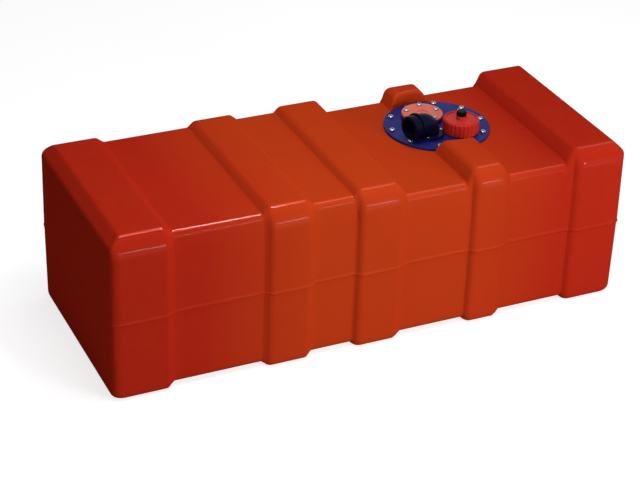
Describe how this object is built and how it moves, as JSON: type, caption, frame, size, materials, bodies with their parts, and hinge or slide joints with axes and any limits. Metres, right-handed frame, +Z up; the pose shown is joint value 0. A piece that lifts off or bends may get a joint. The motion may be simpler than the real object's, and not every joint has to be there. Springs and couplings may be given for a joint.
{
  "type": "outboard fuel tank",
  "caption": "Long ribbed plastic fuel tank with a sunk deck, and a round hatch plate that carries a hose elbow, a level sender, a screw cap with a vent knob and a fuel outlet.",
  "frame": {"origin": "under the middle of the tank, on the surface it stands on", "axes": "+X along the tank towards the hatch end, +Y to the back (the filler elbow's tail points along -X and a little forwards), +Z up"},
  "size_m": [0.903, 0.353, 0.3145],
  "materials": {
    "tank_plastic": "semi-gloss rotomoulded polyethylene, orange red",
    "plate_plastic": "dark blue moulded nylon, satin",
    "cap_plastic": "red moulded plastic, satin",
    "sender_plastic": "salmon moulded plastic, matte",
    "black_plastic": "black moulded plastic",
    "strainer_nylon": "off-white nylon gauze",
    "float_foam": "closed-cell nitrile foam, dark brown",
    "gasket_rubber": "black nitrile rubber",
    "screw_steel": "bright stainless steel",
    "wire_steel": "drawn stainless steel",
    "spindle_steel": "turned stainless steel",
    "insert_brass": "knurled brass",
    "terminal_brass": "tinned brass",
    "fitting_brass": "machined brass"
  },
  "bodies": {
    "tank": {"tank_shell": "tank_plastic", "thread_inserts": "insert_brass", "hatch_gasket": "gasket_rubber", "hatch_plate": "plate_plastic", "plate_screws": "screw_steel", "sender_gasket": "gasket_rubber", "sender_flange": "sender_plastic", "sender_screws": "screw_steel", "sender_terminals": "terminal_brass", "sender_stem": "wire_steel", "sender_housing": "black_plastic", "elbow_collar": "plate_plastic", "collar_screws": "screw_steel", "outlet_washer": "gasket_rubber", "outlet_fitting": "fitting_brass", "outlet_nut": "fitting_brass", "pickup_tube": "black_plastic", "pickup_strainer": "strainer_nylon"},
    "elbow": {"filler_elbow": "plate_plastic", "elbow_seal": "gasket_rubber"},
    "cap": {"cap_disc": "cap_plastic", "cap_gasket": "gasket_rubber"},
    "ring": {"ring_nut": "cap_plastic"},
    "knob": {"vent_knob": "black_plastic"},
    "spindle": {"vent_spindle": "spindle_steel", "vent_seal": "gasket_rubber"},
    "float": {"float_arm": "wire_steel", "level_float": "float_foam", "float_clips": "wire_steel"}
  },
  "joints": [
    {"name": "elbow_swivel", "type": "hinge", "parent": "tank", "child": "elbow", "pos_m": [0.172, 0.006, 0.26], "axis": [0, 0, 1], "range_deg": [-55, 75]},
    {"name": "cap_lift", "type": "slide", "parent": "tank", "child": "cap", "axis": [0, 0, 1], "range_m": [0, 0.08]},
    {"name": "ring_spin", "type": "hinge", "parent": "cap", "child": "ring", "pos_m": [0.2295, 0.001, 0.28], "axis": [0, 0, 1], "continuous": true},
    {"name": "vent_knob_turn", "type": "hinge", "parent": "cap", "child": "knob", "pos_m": [0.2295, 0.001, 0.3], "axis": [0, 0, 1], "range_deg": [0, 270]},
    {"name": "vent_spindle_drop", "type": "slide", "parent": "cap", "child": "spindle", "axis": [0, 0, -1], "range_m": [0, 0.002]},
    {"name": "float_swing", "type": "hinge", "parent": "tank", "child": "float", "pos_m": [0.1905, 0.0665, 0.135], "axis": [0, -1, 0], "range_deg": [0, 90]}
  ],
  "couplings": [
    {"joint": "vent_knob_turn", "follows": "vent_spindle_drop", "rad_per_m": 2356}
  ]
}
